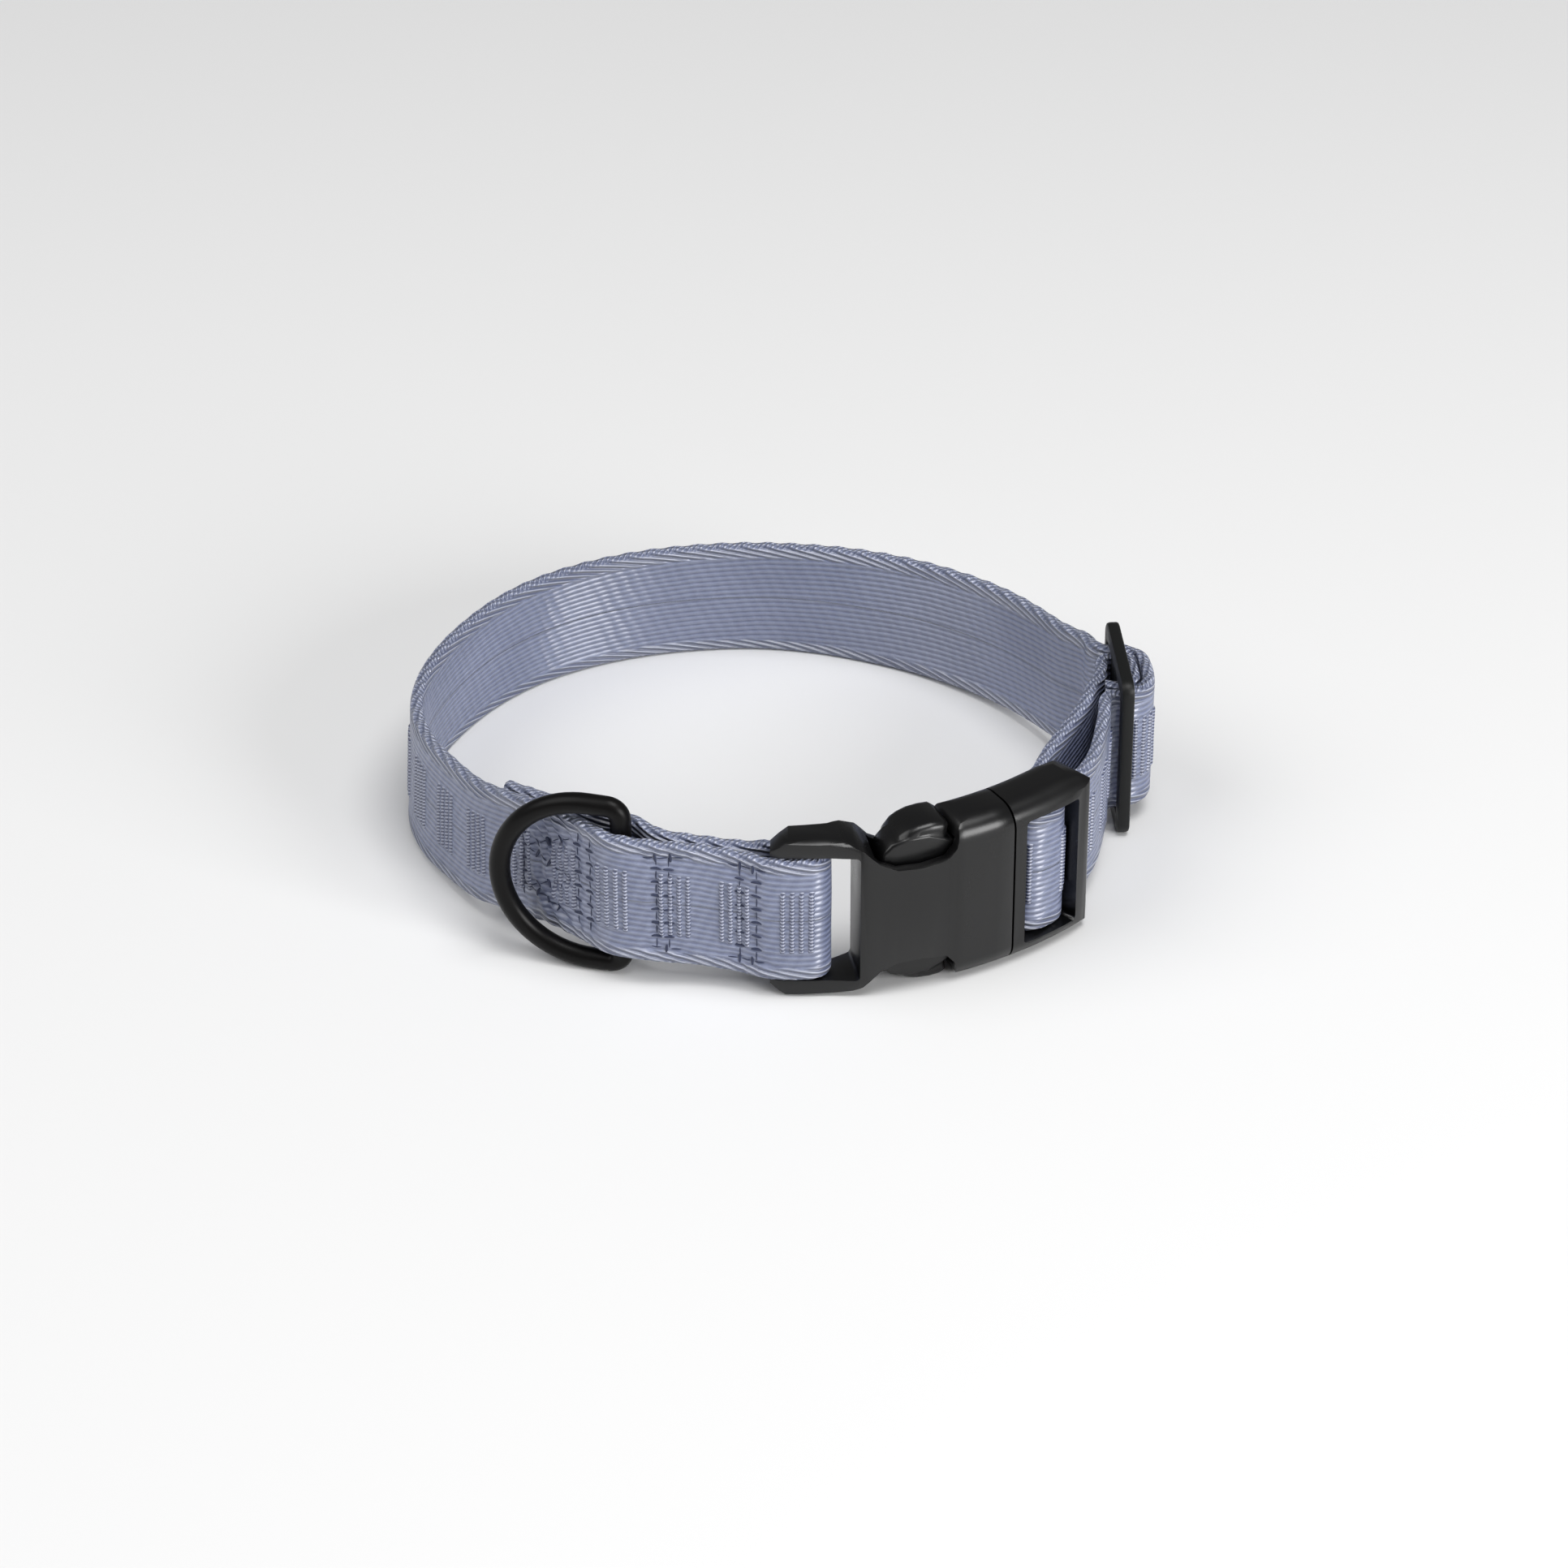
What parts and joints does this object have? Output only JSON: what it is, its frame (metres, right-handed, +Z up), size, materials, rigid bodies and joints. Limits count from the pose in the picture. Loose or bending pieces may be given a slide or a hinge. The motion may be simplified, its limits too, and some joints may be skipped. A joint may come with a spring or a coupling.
{
  "type": "dog collar",
  "caption": "Adjustable webbing dog collar with a side-release buckle, a D-ring held between the strap layers and a three-bar slider.",
  "frame": {"origin": "middle of the collar's box, on the surface that the collar rests on", "axes": "+X along the loop's length from the D-ring side to the slider side, +Y from the buckle to the back of the loop, +Z up, across the webbing's width"},
  "size_m": [0.1082, 0.0918, 0.029],
  "materials": {
    "webbing": "satin woven",
    "buckle_plastic": "satin moulded",
    "ring_coating": "satin black",
    "slider_coating": "satin black"
  },
  "bodies": {
    "collar": {"strap": "webbing", "buckle_socket": "buckle_plastic", "buckle_plug": "buckle_plastic", "slider": "slider_coating"},
    "ring": {"d_ring": "ring_coating"}
  },
  "joints": [
    {"name": "ring_swing", "type": "hinge", "parent": "collar", "child": "ring", "pos_m": [-0.02206, -0.03863, 0.01456], "axis": [0, 0, 1], "range_deg": [0, 150]}
  ]
}
